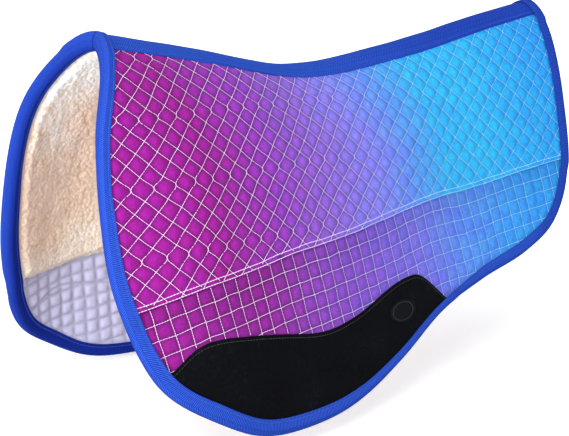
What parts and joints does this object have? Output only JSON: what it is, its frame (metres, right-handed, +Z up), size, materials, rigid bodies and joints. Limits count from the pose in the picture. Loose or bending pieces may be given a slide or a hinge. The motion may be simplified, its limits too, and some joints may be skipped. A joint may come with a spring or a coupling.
{
  "type": "western saddle pad",
  "caption": "Contoured western saddle pad with quilted colour-fade cover, fleece underside, lined lower flaps, spine tape, bound edge, side wear leathers and a plain badge.",
  "frame": {"origin": "on the underside of the spine at mid length of the pattern, on the centre plane, where the pad lies on the horse's back", "axes": "+X from the front arch to the rear, +Y to the horse's right (far side), +Z up"},
  "size_m": [0.7577, 0.4002, 0.4596],
  "materials": {
    "upper_quilt": "diamond-quilted woven cotton, fading from fuchsia through violet to sky blue",
    "lower_quilt": "square-quilted woven cotton, fading from fuchsia through periwinkle to sky blue",
    "core_felt": "pressed felt, hidden",
    "fleece": "cream pile fleece",
    "wadding": "loft wadding, hidden",
    "lining": "pale quilted cotton",
    "leather": "black nap leather",
    "tape": "herringbone cotton webbing",
    "binding": "herringbone twill tape",
    "badge": "matt moulded, plain field with a thin rim"
  },
  "bodies": {
    "root": {"upper_panel_left": "upper_quilt", "upper_panel_right": "upper_quilt", "lower_panel_left": "lower_quilt", "lower_panel_right": "lower_quilt", "core_left": "core_felt", "core_right": "core_felt", "fleece_left": "fleece", "fleece_right": "fleece", "wadding_left": "wadding", "wadding_right": "wadding", "lining_left": "lining", "lining_right": "lining", "wear_leather_left": "leather", "wear_leather_right": "leather", "spine_tape": "tape", "edge_binding": "binding", "badge": "badge"}
  },
  "joints": []
}
